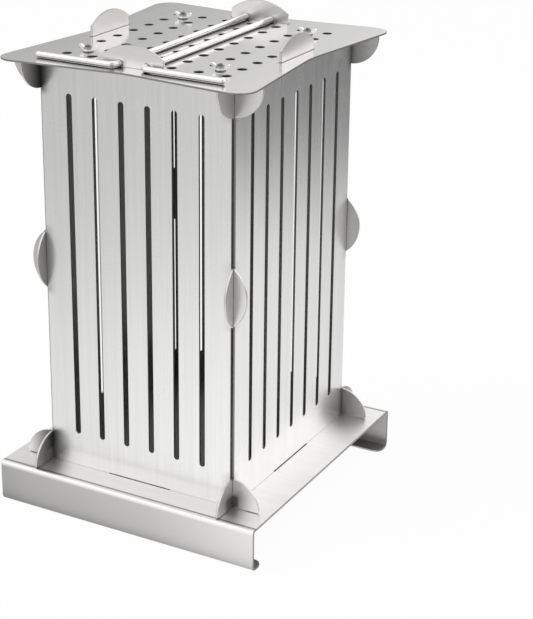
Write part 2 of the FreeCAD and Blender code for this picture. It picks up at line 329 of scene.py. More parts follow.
@dataclass(frozen=True)
class BrushedSteel:
    """Stainless sheet: fine brush lines on its main field, a satin mirror beyond it, and painted shade
    inside the box.
    """

    name: str
    tone: Colour
    roughness: float
    grain: Axis
    inside: Zone
    field: Zone
    bare_tone: Colour = (0.74, 0.728, 0.718)
    satin: float = 0.3
    # Painted shade: the dark tone and higher roughness of the sheet inside the box.
    inside_shade_tone: Colour = (0.38, 0.375, 0.365)
    inside_roughness: float = 0.5
    line_spacing: float = 0.6 * MILLIMETRE
    streak_spacing: float = 5 * MILLIMETRE
    streak_length: float = 320 * MILLIMETRE
    streak_share: float = 0.5
    contrast: float = 0.12
    line_length: float = 80 * MILLIMETRE
    line_depth: float = 0.0012 * MILLIMETRE
    wave_size: float = 90 * MILLIMETRE
    wave_depth: float = 0.1 * MILLIMETRE
    smudge_size: float = 36 * MILLIMETRE
    smudge_range: Pair = (0.5, 0.75)
    streak_roughness: float = 0.06
    smudge_roughness: float = 0.03

    def build(self) -> Material:
        """Makes the material.

        Returns:
            The material.
        """
        material = bpy.data.materials.new(self.name)
        graph = Graph(material)
        brushed = self.field.mask(graph)
        lines = graph.drawn(self.grain, self.line_length, self.line_spacing)
        long_lines = graph.drawn(self.grain, self.streak_length, self.streak_spacing)
        lines = lines + (long_lines - lines) * self.streak_share
        wave = graph.noise(graph.place, 1 / self.wave_size, detail=1.0)
        smudge = graph.noise(graph.place, 1 / self.smudge_size, detail=3.0).ramp(*self.smudge_range)
        streaks = NOISE_MEAN + (lines - NOISE_MEAN) * brushed
        dark, light = (opaque(self.tone, 1 + sign * self.contrast) for sign in (-1, 1))
        tone = graph.blend(brushed, opaque(self.bare_tone), graph.blend(streaks, dark, light))
        rough = self.satin + (self.roughness - self.satin) * brushed
        rough = rough + self.streak_roughness * (streaks - NOISE_MEAN) + self.smudge_roughness * smudge
        tone, rough = self.local_marks(graph, tone, rough)
        # Painted shade inside the box: the sheet there takes the dark inside tone.
        inside_shade = self.inside.mask(graph)
        tone = graph.blend(inside_shade, tone, opaque(self.inside_shade_tone))
        rough = rough + (self.inside_roughness - self.roughness) * inside_shade
        normal = graph.bump(wave, self.wave_depth)
        graph.metal(tone, rough, graph.bump(streaks, self.line_depth, normal))
        return material

    def local_marks(self, graph: Graph, tone: Any, rough: Value) -> tuple[Any, Value]:
        """The colour and the roughness with the sheet's own marks. A plain sheet has none."""
        return tone, rough


@dataclass(frozen=True)
class WallSteel(BrushedSteel):
    """A wall's steel, with a soft painted shade, standing in for shade and dark reflections, beside each
    row of ears, and painted shade in its bottom corners.
    """

    # Lighter ears and tabs than on the side walls: a painted highlight on the same steel.
    bare_tone: Colour = (0.84, 0.833, 0.825)
    corner: Pair = (0.0, 0.0)
    ears: tuple[Pair, ...] = ()
    # Painted shade beside the ears: how far it reaches on the wall and on the ears, how it fades, and how
    # dark and rough it is in each corner.
    ear_shade: float = 12 * MILLIMETRE
    ear_shade_on_ears: float = 32 * MILLIMETRE
    row_fade: float = 7.2 * MILLIMETRE
    ear_shade_share: float = 0.16
    ear_shade_roughness: float = 0.1
    row_shares: tuple[float, ...] = (1.0, 0.5, 1.0)
    front_right: float = 0.3
    rear_right: float = 0.7
    rear_left: float = 0.45
    # Painted shade in the bottom corners, where the walls stand on the tray.
    corner_shade_reach: float = 9 * MILLIMETRE
    corner_shade_inward: float = 0.3
    corner_shade_edge: Pair = (0.05, 0.35)
    corner_shade_heights: Pair = (13 * MILLIMETRE, 9.1 * MILLIMETRE)
    corner_shade_share: float = 0.33
    rear_corner_shade: float = 0.4

    def local_marks(self, graph: Graph, tone: Any, rough: Value) -> tuple[Any, Value]:
        """The painted shade beside the ears and in the bottom corners.

        Args:
            graph: The finish's graph.
            tone: The colour so far.
            rough: The roughness so far.

        Returns:
            The colour and the roughness with the marks.
        """
        x, y, z = graph.xyz
        side, back = self.corner
        gaps = abs(x) - side, abs(y) - back
        # Painted shade beside the ears, darker in some corners than in others.
        near = self.within(gaps, self.ear_shade, self.ear_shade_on_ears)
        row = sum(z.ramp(low - self.row_fade, low) * z.ramp(high + self.row_fade, high) * share
                  for (low, high), share in zip(self.ears, self.row_shares))
        front = y.under(0.0)
        on_left = self.rear_left + (1 - self.rear_left) * front
        on_right = self.rear_right + (self.front_right - self.rear_right) * front
        ear_shade = near * row * (on_right + (on_left - on_right) * x.under(0.0))
        tone = graph.blend(ear_shade, tone, opaque(self.tone, self.ear_shade_share))
        # Painted shade in the bottom corners, weaker at the back.
        foot = self.within(gaps, self.corner_shade_inward * self.corner_shade_reach, self.corner_shade_reach)
        unshaded, full = (self.ears[0][0] + height for height in self.corner_shade_heights)
        corner_shade = foot.ramp(*self.corner_shade_edge) * z.ramp(unshaded, full)
        corner_shade = corner_shade * (self.rear_corner_shade + (1 - self.rear_corner_shade) * front)
        tone = graph.blend(corner_shade, tone, opaque(self.tone, self.corner_shade_share))
        return tone, rough + self.ear_shade_roughness * ear_shade

    @staticmethod
    def within(gaps: tuple[Value, Value], inward: float, outward: float) -> Value:
        """1 at a corner line, fading to 0 at a distance inward on the wall and outward on the ears."""
        aside, behind = (gap.ramp(-inward, 0.0) * gap.ramp(outward, 0.0) for gap in gaps)
        return aside * behind


@dataclass(frozen=True)
class SideWallSteel(WallSteel):
    """The steel of a left or right wall, with darker, rougher ears, a deeper painted shade beside them and
    a wider painted shade in its bottom corners.
    """

    # Darker ears and tabs than on the front and rear walls: painted shade on the same steel.
    bare_tone: Colour = (0.72, 0.708, 0.698)
    satin: float = 0.38
    ear_shade_on_ears: float = 42 * MILLIMETRE
    ear_shade_share: float = 0.11
    corner_shade_reach: float = 17 * MILLIMETRE


@dataclass(frozen=True)
class FoldedSteel(BrushedSteel):
    """The tray's steel, with a painted dark reflection line beside each top bend, painted shade on the
    skirts and painted shade under the plate.

    The skirts' brightness goes by X in millimetres. Depths and the lips' heights are in sheet thicknesses.
    """

    # A painted reflection: a dark line on the plate beside each top bend.
    bend_shade_from: float = 0.0
    bend_shade_width: float = 2.0 * MILLIMETRE
    bend_shade_share: float = 0.3
    plate_depth: float = 0.3
    skirt_depths: Pair = (2.5, 1.0)
    # Painted shade on the skirts: darker towards the left and towards their foot.
    skirt_shade_levels: Levels = ((-127, 0.5), (-100, 0.57), (-30, 0.6), (30, 0.64), (70, 0.71), (127, 0.84))
    skirt_foot_shade_height: float = 0.3
    skirt_foot_shade_share: float = 0.82
    underside_depths: Pair = (1.2, 0.9)
    lip_heights: Pair = (0.8, 1.2)
    top: float = 0.0
    sheet: float = 2 * MILLIMETRE
    skirt: float = 0.0
    # Painted shade under the plate and on the lips' insides.
    underside_shade_tone: Colour = (0.3, 0.295, 0.29)
    under_roughness: float = 0.25

    def local_marks(self, graph: Graph, tone: Any, rough: Value) -> tuple[Any, Value]:
        """The painted reflection lines beside the bends, the painted shade on the skirts, and painted shade
        under the plate and on the lips' insides.

        Args:
            graph: The finish's graph.
            tone: The colour so far.
            rough: The roughness so far.

        Returns:
            The colour and the roughness with the marks.
        """
        x, y, z = graph.xyz
        across = abs(y)
        on_plate = 1.0 - z.under(self.top - self.plate_depth * self.sheet)
        # Painted reflection: the dark line on the plate beside the bend.
        line = across.ramp(self.bend_shade_from - self.bend_shade_width, self.bend_shade_from)
        line = line * across.ramp(self.bend_shade_from + self.bend_shade_width, self.bend_shade_from) * on_plate
        tone = graph.blend(line, tone, opaque(self.tone, self.bend_shade_share))
        # Painted shade on the skirts, darker towards the left and towards the foot.
        on_skirt = 1.0 - z.ramp(*(self.top - depth * self.sheet for depth in self.skirt_depths))
        level = (x * (1 / MILLIMETRE)).levels(*self.skirt_shade_levels)
        level = level * (self.skirt_foot_shade_share + (1 - self.skirt_foot_shade_share) * z.ramp(0.0, self.skirt_foot_shade_height * self.top))
        skirt = graph.blend(level, (0.0, 0.0, 0.0, 1.0), opaque(self.tone))
        tone = graph.blend(on_skirt, tone, skirt)
        # Painted shade under the plate and on the lips' insides.
        below = z.between(*(self.top - depth * self.sheet for depth in self.underside_depths))
        on_lip = z.between(*(height * self.sheet for height in self.lip_heights))
        hidden = (below + on_lip) * across.under(self.skirt)
        tone = graph.blend(hidden, tone, opaque(self.underside_shade_tone))
        return tone, rough + self.under_roughness * hidden


@dataclass(frozen=True)
class CutEdge:
    """The edge of a laser-cut sheet: fine ridges across it, painted shade where it is boxed in, and painted
    contact shadow where it stands.
    """

    name: str
    tone: Colour
    through: Axis
    # Painted shade on edges boxed in by the walls, and painted contact shadow on edges below the foot
    # height.
    boxed: Zone | None = None
    boxed_shade_tone: Colour = (0.3, 0.295, 0.285)
    foot: float = -EVERYWHERE
    foot_shadow_tone: Colour = (0.06, 0.058, 0.056)
    roughness: float = 0.3
    ridge_spacing: float = 0.35 * MILLIMETRE
    ridge_length: float = 16 * MILLIMETRE
    ridge_depth: float = 0.015 * MILLIMETRE
    ridge_shares: Pair = (0.85, 1.1)
    ridge_roughness: float = 0.15

    def build(self) -> Material:
        """Makes the material.

        Returns:
            The material.
        """
        material = bpy.data.materials.new(self.name)
        graph = Graph(material)
        ridges = graph.drawn(self.through, self.ridge_length, self.ridge_spacing)
        tone = graph.blend(ridges, *(opaque(self.tone, share) for share in self.ridge_shares))
        # Painted shade in the boxed zone and painted contact shadow below the foot.
        if self.boxed is not None:
            tone = graph.blend(self.boxed.mask(graph), tone, opaque(self.boxed_shade_tone))
        _, _, z = graph.xyz
        tone = graph.blend(z.under(self.foot), tone, opaque(self.foot_shadow_tone))
        rough = self.roughness + self.ridge_roughness * ridges
        graph.metal(tone, rough, graph.bump(ridges, self.ridge_depth))
        return material


@dataclass(frozen=True)
class PolishedSteel:
    """Bright round bar and turned or cast fasteners: nearly a mirror, with a faint relief and haze.

    A radius darkens the lower half of a bar, and a reach darkens what lies within it of the four bosses:
    both are painted shade.
    """

    name: str
    tone: Colour
    roughness: float
    relief_size: float = 0.8 * MILLIMETRE
    relief_depth: float = 0.01 * MILLIMETRE
    # Painted shade round the bosses.
    boss: Pair = (0.0, 0.0)
    boss_reach: float = 0.0
    boss_edge: Pair = (0.7, 1.1)
    boss_shade_share: float = 0.2
    # Painted shade on a bar's lower half.
    middle: float = 0.0
    radius: float = 0.0
    underside_shade_edge: Pair = (-0.9, 0.1)
    underside_shade_share: float = 0.25
    haze_size: float = 22 * MILLIMETRE
    haze_range: Pair = (0.45, 0.8)
    haze_share: float = 0.92
    haze_roughness: float = 0.06

    def build(self) -> Material:
        """Makes the material.

        Returns:
            The material.
        """
        material = bpy.data.materials.new(self.name)
        graph = Graph(material)
        x, y, z = graph.xyz
        relief = graph.noise(graph.place, 1 / self.relief_size, detail=2.0)
        haze = graph.noise(graph.place, 1 / self.haze_size, detail=3.0).ramp(*self.haze_range)
        tone = graph.blend(haze, opaque(self.tone), opaque(self.tone, self.haze_share))
        # Painted shade on the lower half of a bar.
        if self.radius:
            bright = z.ramp(*(self.middle + edge * self.radius for edge in self.underside_shade_edge))
            tone = graph.blend(bright, opaque(self.tone, self.underside_shade_share), tone)
        # Painted shade on the bosses, fading out towards the wings.
        if self.boss_reach:
            aside, behind = abs(x) - self.boss[0], abs(y) - self.boss[1]
            away = (aside * aside + behind * behind).root()
            clear = away.ramp(*(edge * self.boss_reach for edge in self.boss_edge))
            tone = graph.blend(clear, opaque(self.tone, self.boss_shade_share), tone)
        rough = self.roughness + self.haze_roughness * haze
        graph.metal(tone, rough, graph.bump(relief, self.relief_depth))
        return material


# ---------------- mesh making


def add_object(name: str, data: bpy.types.ID) -> Object:
    """Links a mesh, a lamp or a camera into the scene under a name.

    Args:
        name: The object's name.
        data: What it shows.

    Returns:
        The object.
    """
    made = bpy.data.objects.new(name, data)
    bpy.context.scene.collection.objects.link(made)
    return made


def settle(made: Object) -> Object:
    """Applies an object's modifiers to its mesh.

    Args:
        made: The object.

    Returns:
        The same object.
    """
    bpy.context.view_layer.update()
    graph = bpy.context.evaluated_depsgraph_get()
    mesh = bpy.data.meshes.new_from_object(made.evaluated_get(graph), depsgraph=graph)
    made.modifiers.clear()
    made.data = mesh
    return made


def hand_over(made: Object, body: str, node: str) -> None:
    """Puts a finished piece on its body, in place of the node that it stands for.

    Args:
        made: The piece.
        body: The body that it rides on.
        node: The solid that it replaces.
    """
    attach(made, body)
    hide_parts(node)
    LOG.info("%s: %d faces, rides on %s", made.name, len(made.data.polygons), body)


def to_mesh(name: str, shape: BMesh) -> Mesh:
    """Writes a shape to a new mesh with smooth faces.

    Args:
        name: The mesh's name.
        shape: The shape, which is freed.

    Returns:
        The mesh.
    """
    mesh = bpy.data.meshes.new(name)
    shape.to_mesh(mesh)
    shape.free()
    for face in mesh.polygons:
        face.use_smooth = True
    return mesh


def closed(name: str, shape: BMesh) -> Object:
    """Makes an object of a shape whose seams and tips are still split.

    Args:
        name: The object's name.
        shape: The shape, which is freed.

    Returns:
        The object.
    """
    bmesh.ops.remove_doubles(shape, verts=shape.verts, dist=MERGE)
    bmesh.ops.dissolve_degenerate(shape, dist=MERGE, edges=shape.edges)
    bmesh.ops.recalc_face_normals(shape, faces=shape.faces)
    return add_object(name, to_mesh(name, shape))


def turn(name: str, segments: int, section: Callable[[float], list[Pair]]) -> Object:
    """Turns a section round the Z axis.

    Args:
        name: The object's name.
        segments: Steps round the turn.
        section: Gives the points, as radius and height, for a share of the turn. A last point that
            differs from the first leaves the section open on the axis.

    Returns:
        The turned object.
    """
    shape = bmesh.new()
    rings = []
    for step in range(segments):
        share = step / segments
        angle = 2 * math.pi * share
        across = Vector((math.cos(angle), math.sin(angle), 0))
        rings.append([shape.verts.new(across * radius + UP * height) for radius, height in section(share)])
    for ring, after in zip(rings, rings[1:] + rings[:1]):
        for index in range(len(ring) - 1):
            shape.faces.new((ring[index], after[index], after[index + 1], ring[index + 1]))
    return closed(name, shape)


def bar(name: str, path: list[Vector], radii: list[float], segments: int) -> Object:
    """Sweeps a circle along a level path.

    Args:
        name: The object's name.
        path: The centres of the rings.
        radii: The radius of each ring. A ring of no radius closes the end.
        segments: Steps round the bar.

    Returns:
        The swept object.
    """
    shape = bmesh.new()
    rings = []
    last = len(path) - 1
    for index, (centre, radius) in enumerate(zip(path, radii)):
        ahead = (path[min(index + 1, last)] - path[max(index - 1, 0)]).normalized()
        sideways = ahead.cross(UP)
        ring = []
        for step in range(segments):
            angle = 2 * math.pi * step / segments
            outward = sideways * math.cos(angle) + UP * math.sin(angle)
            ring.append(shape.verts.new(centre + outward * radius))
        rings.append(ring)
    for ring, after in zip(rings, rings[1:]):
        for step in range(segments):
            other = (step + 1) % segments
            shape.faces.new((ring[step], after[step], after[other], ring[other]))
    shape.faces.new(rings[0])
    shape.faces.new(reversed(rings[-1]))
    return closed(name, shape)


def crisp(made: Object, width: float, material: int = -1) -> None:
    """Rounds an object's sharp edges a little, and keeps its flat faces flat in the light.

    Args:
        made: The object.
        width: How far each rounding reaches.
        material: The material of the rounding, or -1 for that of its neighbours.
    """
    bevel = made.modifiers.new("edges", "BEVEL")
    bevel.width = width
    bevel.segments = EASE_STEPS
    bevel.material = material
    bevel.limit_method = "ANGLE"
    bevel.angle_limit = SHARP_ANGLE
    normals = made.modifiers.new("flats", "WEIGHTED_NORMAL")
    normals.weight = 100
    normals.keep_sharp = True
    settle(made)


# ---------------- sheet metal


@dataclass
class Sheet:
    """One cut sheet: its shape with brushed faces, raw cut edges and a dark line along each eased edge."""

    node: str
    body: str
    slot: str
    face: Material
    edge: Material
    burr: Material
    is_edge: Callable[[Vector, Vector], bool]
    ease: float = 0.35 * MILLIMETRE
    weld: float = 0.002 * MILLIMETRE
    flat_angle: float = math.radians(1)

    def outline(self) -> BMesh:
        """The node's solid with its flat faces joined up again.

        Returns:
            The shape.
        """
        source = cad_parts[self.node].data
        shape = bmesh.new()
        points = [shape.verts.new(point.co) for point in source.vertices]
        for face in source.polygons:
            shape.faces.new([points[index] for index in face.vertices])
        bmesh.ops.remove_doubles(shape, verts=shape.verts, dist=self.weld)
        bmesh.ops.dissolve_degenerate(shape, dist=self.weld / 2, edges=shape.edges)
        bmesh.ops.dissolve_limit(shape, angle_limit=self.flat_angle, verts=shape.verts, edges=shape.edges)
        return shape

    def build(self) -> None:
        """Makes the piece and puts it in the node's place."""
        name = f"{self.node}_sheet"
        shape = self.outline()
        for face in shape.faces:
            face.material_index = int(self.is_edge(face.calc_center_median(), face.normal))
        made = add_object(name, to_mesh(name, shape))
        steels = [self.face, self.edge, self.burr]
        for steel in steels:
            made.data.materials.append(steel)
        crisp(made, self.ease, material=steels.index(self.burr))
        hand_over(made, self.body, self.node)


def edge_of_plate(normal_axis: Axis) -> Callable[[Vector, Vector], bool]:
    """The test for the cut edges of a flat plate that faces along an axis."""
    return lambda centre, normal: abs(normal[normal_axis.value]) < FACES_ALONG


@dataclass
class SheetMetal:
    """The walls, the lid, the guide plate and the tray."""

    wall_tone: Colour = (0.782, 0.779, 0.774)
    lid_tone: Colour = (0.765, 0.757, 0.748)
    tray_tone: Colour = (0.84, 0.832, 0.824)
    burr_tone: Colour = (0.2, 0.195, 0.19)
    rim_tone: Colour = (0.62, 0.615, 0.605)
    sheared_tone: Colour = (0.3, 0.298, 0.295)
    wall_roughness: float = 0.26
    lid_roughness: float = 0.15
    tray_roughness: float = 0.42
    skin: float = 1 * MILLIMETRE
    # How far in from the tray's back the painted dark reflection line lies.
    bend_shade_inset: float = 4.6 * MILLIMETRE
    skirt_depth: float = 2.5 * MILLIMETRE
    plate_share: float = 0.9
    ear_reach: float = 26 * MILLIMETRE
    middle_ear: float = 187.5 * MILLIMETRE

    def build(self) -> None:
        """Makes every sheet."""
        inside = self.inside()
        burr = CutEdge("heat_line", self.burr_tone, Axis.Z, roughness=0.35).build()
        for pair, along, through, steel in ((("front_wall", "rear_wall"), Axis.X, Axis.Y, WallSteel),
                                            (("left_wall", "right_wall"), Axis.Y, Axis.X, SideWallSteel)):
            body = self.wall_body(along)
            name = "_and_".join(pair)
            face = steel(f"{name}_steel", self.wall_tone, self.wall_roughness, Axis.Z, inside, body,
                         corner=(inside.half_x, inside.half_y), ears=self.ear_rows()).build()
            foot = TRAY_TOP + self.skin
            edge = CutEdge(f"{name}_cut_edge", self.rim_tone, through, body, foot=foot).build()
            for node in pair:
                Sheet(node, "box", "wall_steel", face, edge, burr, edge_of_plate(through)).build()
        lid = BrushedSteel("lid_steel", self.lid_tone, self.lid_roughness, Axis.Y, inside, Zone()).build()
        edge = CutEdge("plate_cut_edge", self.sheared_tone, Axis.Z).build()
        for node in ("lid_plate", "guide_plate"):
            Sheet(node, "box", "lid_steel", lid, edge, burr, edge_of_plate(Axis.Z)).build()
        tray = self.tray_steel(inside)
        Sheet("base_tray", "tray", "tray_steel", tray, edge, burr, self.tray_edge).build()

    def inside(self) -> Zone:
        """The space between the middles of the wall sheets, from the tray to the lid.

        Returns:
            The zone.
        """
        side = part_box("right_wall")[0].x
        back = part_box("rear_wall")[0].y
        return Zone(side + self.skin, back + self.skin, TRAY_TOP - self.skin, LID_BOTTOM + self.skin / 2)

    def wall_body(self, along: Axis) -> Zone:
        """The plain field of a wall, without its ears and tabs.

        Args:
            along: The axis that the wall runs along.

        Returns:
            The zone.
        """
        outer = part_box("right_wall")[1].x if along is Axis.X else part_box("rear_wall")[1].y
        across = (outer + self.skin / 2, EVERYWHERE)
        half_x, half_y = across if along is Axis.X else reversed(across)
        return Zone(half_x, half_y, TRAY_TOP, LID_BOTTOM)

    def ear_rows(self) -> tuple[Pair, ...]:
        """The lowest and highest point of each row of ears.

        Returns:
            The bottom, the middle and the top row.
        """
        middle = TRAY_TOP + self.middle_ear
        reach = self.ear_reach
        bottom_row = (TRAY_TOP, TRAY_TOP + reach)
        return bottom_row, (middle - reach, middle + reach), (LID_BOTTOM - reach, LID_BOTTOM)

    def tray_steel(self, inside: Zone) -> Material:
        """The tray's finish, with painted shade within the walls."""
        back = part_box("base_tray")[1].y
        return FoldedSteel(
            "tray_steel", self.tray_tone, self.tray_roughness, Axis.X, inside,
            Zone(high=TRAY_TOP + self.skin), bend_shade_from=back - self.bend_shade_inset, top=TRAY_TOP,
            skirt=back - self.skirt_depth,
        ).build()

    def tray_edge(self, centre: Vector, normal: Vector) -> bool:
        """True on the tray's open ends and in its slots.

        Args:
            centre: The middle of a face.
            normal: The way it faces.

        Returns:
            Whether the face is a cut edge.
        """
        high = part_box("base_tray")[1]
        in_plate = centre.z > high.z - self.skirt_depth and abs(centre.y) < self.plate_share * high.y
        return abs(normal.x) > FACES_ALONG or (in_plate and abs(normal.z) < FACES_ALONG)


# ---------------- rods and fasteners


@dataclass
class LockingRod:
    """A bent bar: a shank through the front and rear tabs, and an arm along the front."""

    side: Side
    steel: Material
    bend: float = 6 * MILLIMETRE
    chamfer: float = 0.8 * MILLIMETRE
    ease: float = 0.1 * MILLIMETRE
    bend_steps: int = 16
    dome_steps: int = 8
    segments: int = 40

    def build(self) -> None:
        """Makes the shank and the arm."""
        name = self.side.name.lower()
        for piece, body, course in (("shank", "rod", self.shank), ("arm", "arm", self.arm)):
            node = f"{name}_rod_{piece}"
            made = bar(f"{node}_bar", *course(*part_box(node)), self.segments)
            made.data.materials.append(self.steel)
            crisp(made, self.ease)
            hand_over(made, f"{name}_{body}", node)

    def shank(self, low: Vector, high: Vector) -> tuple[list[Vector], list[float]]:
        """The straight bar, from the bend to its chamfered rear end.

        Args:
            low: The lowest corner of the shank's box.
            high: Its highest corner.

        Returns:
            The centres and the radii of its rings.
        """
        centre = (low + high) / 2
        radius = (high.z - low.z) / 2
        stations = [low.y, (low.y + high.y) / 2, high.y - self.chamfer, high.y, high.y]
        path = [Vector((centre.x, y, centre.z)) for y in stations]
        return path, [radius, radius, radius, radius - self.chamfer, 0.0]

    def arm(self, low: Vector, high: Vector) -> tuple[list[Vector], list[float]]:
        """The bend, the straight arm and its domed end.

        Args:
            low: The lowest corner of the arm's box.
            high: Its highest corner.

        Returns:
            The centres and the radii of its rings.
        """
        sign = self.side.value
        radius = (high.z - low.z) / 2
        height = (low.z + high.z) / 2
        near, far = (low.x, high.x) if self.side is Side.RIGHT else (high.x, low.x)
        row = low.y + radius
        pivot = Vector((near + sign * (radius + self.bend), row + self.bend, height))
        path = []
        for step in range(self.bend_steps + 1):
            angle = math.pi / 2 * step / self.bend_steps
            path.append(pivot - Vector((sign * math.cos(angle), math.sin(angle), 0)) * self.bend)
        radii = [radius] * len(path)
        dome = far - sign * radius
        for step in range(self.dome_steps + 1):
            angle = math.pi / 2 * step / self.dome_steps
            path.append(Vector((dome + sign * radius * math.sin(angle), row, height)))
            radii.append(radius * math.cos(angle) if step < self.dome_steps else 0.0)
        return path, radii


@dataclass
class WingNut:
    """A cast wing nut: a tapered boss on a flange, and two low wings that spread from it.

    The shares are of the nut's reach, from its middle to a wing's tip, and of its height.
    """

    reach: float
    height: float
    bore: float = 0.25
    flange: float = 0.5
    flange_heights: Pair = (0.16, 0.24)
    crown: float = 0.4
    boss: float = 0.67
    boss_chamfer: Pair = (0.05, 0.08)
    turn_steps: int = 48
    half_thickness: float = 0.13
    voxel: float = 0.18 * MILLIMETRE
    softening: int = 6
    wing: tuple[Pair, ...] = (
        (0.33, 0.08), (0.6, 0.16), (0.82, 0.36), (0.97, 0.62), (1.0, 0.84), (0.93, 1.0), (0.78, 0.99),
        (0.6, 0.82), (0.42, 0.56), (0.28, 0.44),
    )

    def boss_section(self) -> list[Pair]:
        """The closed section of the boss, with its bore.

        Returns:
            Points as radius and height.
        """
        rim, shoulder = self.flange_heights
        inward, down = self.boss_chamfer
        shares = [(self.bore, 0.0), (self.flange, 0.0), (self.flange, rim),
                  (self.flange - inward, shoulder), (self.crown, self.boss - down),
                  (self.crown - inward, self.boss), (self.bore, self.boss), (self.bore, 0.0)]
        return [(radius * self.reach, rise * self.height) for radius, rise in shares]

    def build(self) -> Mesh:
        """Melts the boss and both wings into one skin, standing on the origin.

        Returns:
            The mesh that all the nuts share.
        """
        made = turn("wing_nut_blank", self.turn_steps, lambda share: self.boss_section())
        shape = bmesh.new()
        shape.from_mesh(made.data)
        half = self.half_thickness * self.reach
        for sign in (-1, 1):
            outline = [(sign * x * self.reach, z * self.height) for x, z in self.wing]
            front, back = ([shape.verts.new((x, y, z)) for x, z in outline] for y in (-half, half))
            shape.faces.new(front)
            shape.faces.new(reversed(back))
            for index in range(len(outline)):
                other = (index + 1) % len(outline)
                shape.faces.new((front[index], back[index], back[other], front[other]))
        bmesh.ops.recalc_face_normals(shape, faces=shape.faces)
        made.data = to_mesh("wing_nut_blank", shape)
        melt = made.modifiers.new("melt", "REMESH")
        melt.mode = "VOXEL"
        melt.voxel_size = self.voxel
        melt.use_smooth_shade = True
        soften = made.modifiers.new("soften", "SMOOTH")
        soften.iterations = self.softening
        mesh = settle(made).data
        bpy.data.objects.remove(made)
        return mesh


@dataclass
class Fasteners:
    """Screw, spacer, washer and wing nut at each of the lid's four places."""

    steel: Material
    washer_steel: Material
    hole: float = 2.2 * MILLIMETRE
    ease: float = 0.12 * MILLIMETRE
    pan: tuple[Pair, ...] = ((0.0, 0.0), (0.75, 0.0), (0.93, 0.13), (1.0, 0.42), (1.0, 1.0))
    pitch: float = 0.7 * MILLIMETRE
    thread_depth: float = 0.38 * MILLIMETRE
    thread_length: float = 10 * MILLIMETRE
    lead_in: float = 0.5 * MILLIMETRE
    pitch_steps: int = 8
    turn_steps: int = 32
    ring_steps: int = 64

    def build(self) -> None:
        """Makes the four columns."""
        low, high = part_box(f"{CORNERS[0]}_wing_nut")
        nut = WingNut((high.x - low.x) / 2, high.z - low.z).build()
        for corner in CORNERS:
            node = f"{corner}_wing_nut"
            self.dress(add_object(f"{node}_cast", nut.copy()), f"{corner}_nut", node, self.steel)
            self.ring(f"{corner}_washer", self.washer_steel)
            self.ring(f"{corner}_spacer", self.steel)
            self.screw(corner)

    def dress(self, made: Object, body: str, node: str, steel: Material) -> None:
        """Moves a piece from the origin to its node's seat, and gives it its steel and its body.

        Args:
            made: The piece.
            body: The body that it rides on.
            node: The solid that it replaces.
            steel: Its finish.
        """
        low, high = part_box(node)
        floor = min(point.co.z for point in made.data.vertices)
        seat = Vector(((low.x + high.x) / 2, (low.y + high.y) / 2, low.z))
        made.data.transform(Matrix.Translation(seat - UP * floor))
        made.data.materials.append(steel)
        hand_over(made, body, node)

    def ring(self, node: str, steel: Material) -> None:
        """A washer or a spacer, as a turned ring with eased edges.

        Args:
            node: The solid that it replaces.
            steel: Its finish.
        """
        low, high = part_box(node)
        outer = (high.x - low.x) / 2
        height = high.z - low.z
        section = [(self.hole, 0), (outer, 0), (outer, height), (self.hole, height), (self.hole, 0)]
        made = turn(f"{node}_ring", self.ring_steps, lambda share: section)
        crisp(made, self.ease)
        self.dress(made, "box", node, steel)

    def screw(self, corner: str) -> None:
        """One pan-head screw with a cut thread on its upper end.

        Args:
            corner: The corner of the lid.
        """
        node = f"{corner}_screw"
        low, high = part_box(node)
        length = high.z - low.z
        head = (high.x - low.x) / 2
        core = head / 2
        head_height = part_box("guide_plate")[0].z - low.z
        plain = [(wide * head, tall * head_height) for wide, tall in self.pan] + [(core, head_height)]
        step = self.pitch / self.pitch_steps
        count = int(self.thread_length / step)
        heights = [length - self.thread_length + step * index for index in range(count)]

        def section(share: float) -> list[Pair]:
            """The screw's open section at a share of the turn, with the thread's crests and roots."""
            points = list(plain)
            for height in heights:
                phase = (height / self.pitch - share) % 1.0
                taper = max(0.0, 1.0 - (length - height) / self.pitch)
                root = self.thread_depth * abs(2 * phase - 1)
                points.append((core - root - self.lead_in * taper, height))
            return points + [(core / 2, length), (0.0, length)]

        self.dress(turn(f"{node}_turned", self.turn_steps, section), "box", node, self.steel)


# ---------------- studio


